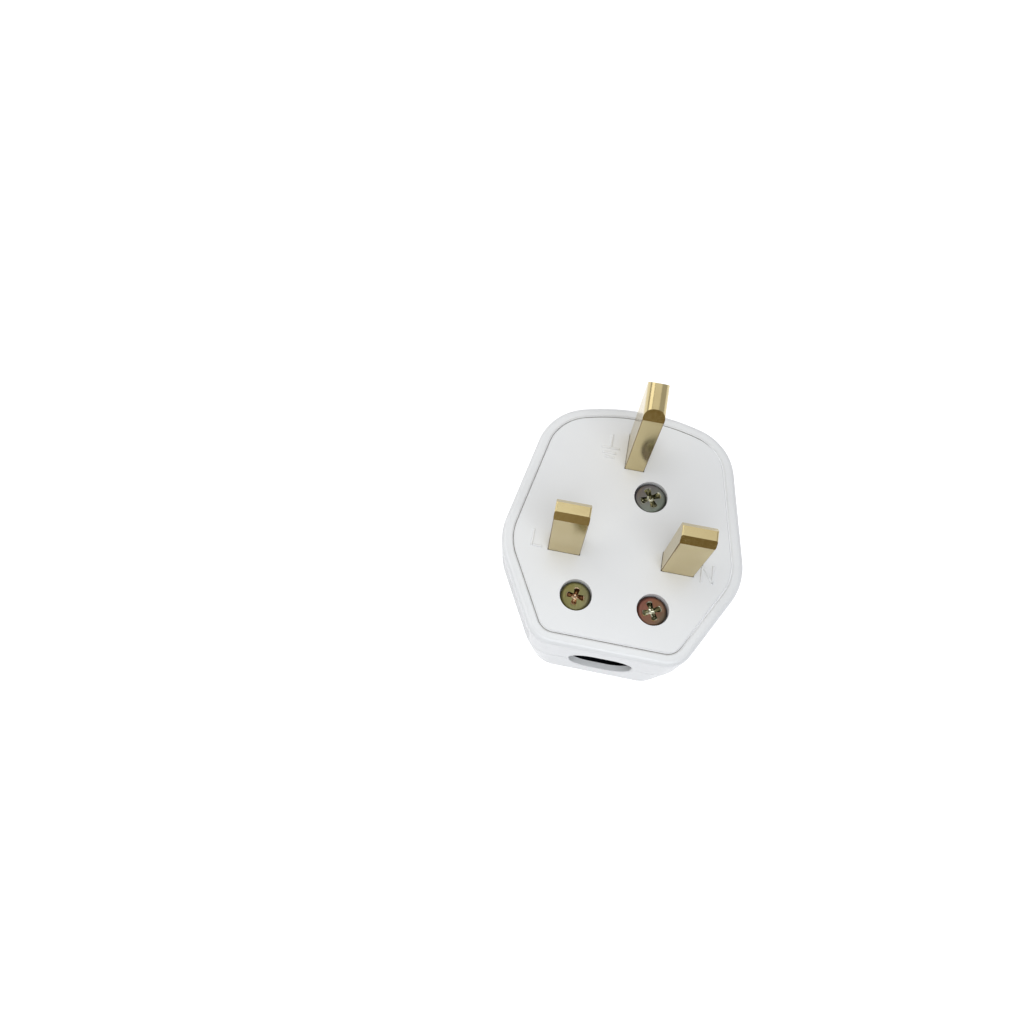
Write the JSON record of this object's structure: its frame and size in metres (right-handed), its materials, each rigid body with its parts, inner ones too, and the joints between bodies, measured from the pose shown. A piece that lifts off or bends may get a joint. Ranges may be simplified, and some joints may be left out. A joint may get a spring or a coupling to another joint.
{
  "type": "three-pin plug",
  "caption": "Rewirable mains plug: hollow white split shell on its flat back, flat brass pins, cord hole at one end, fuse, terminals and cord grip inside.",
  "frame": {"origin": "under the middle of the body, on the plane of the cover's flat back, which the plug lies on", "axes": "+Z runs along the pins towards their tips, +Y from the cord end towards the earth pin, +X from the line pin towards the neutral pin"},
  "size_m": [0.0474, 0.0524, 0.0447],
  "materials": {
    "shell": "gloss",
    "pin_brass": "satin",
    "inner_brass": "satin",
    "fuse_ceramic": "matte",
    "fuse_cap_metal": "satin",
    "terminal_screw_steel": "satin",
    "grip_plastic": "matte",
    "shell_screw_steel": "satin"
  },
  "bodies": {
    "root": {"base": "shell", "cover": "shell", "earth_pin": "pin_brass", "neutral_pin": "pin_brass", "line_pin": "pin_brass", "line_terminal": "inner_brass", "lower_fuse_clip": "inner_brass", "upper_fuse_clip": "inner_brass", "fuse_tube": "fuse_ceramic", "lower_fuse_cap": "fuse_cap_metal", "upper_fuse_cap": "fuse_cap_metal", "earth_terminal_screw": "terminal_screw_steel", "neutral_terminal_screw": "terminal_screw_steel", "line_terminal_screw": "terminal_screw_steel", "cord_grip_bar": "grip_plastic", "left_grip_screw": "terminal_screw_steel", "right_grip_screw": "terminal_screw_steel", "upper_shell_screw": "shell_screw_steel", "left_shell_screw": "shell_screw_steel", "right_shell_screw": "shell_screw_steel", "upper_insert": "inner_brass", "left_insert": "inner_brass", "right_insert": "inner_brass"}
  },
  "joints": []
}
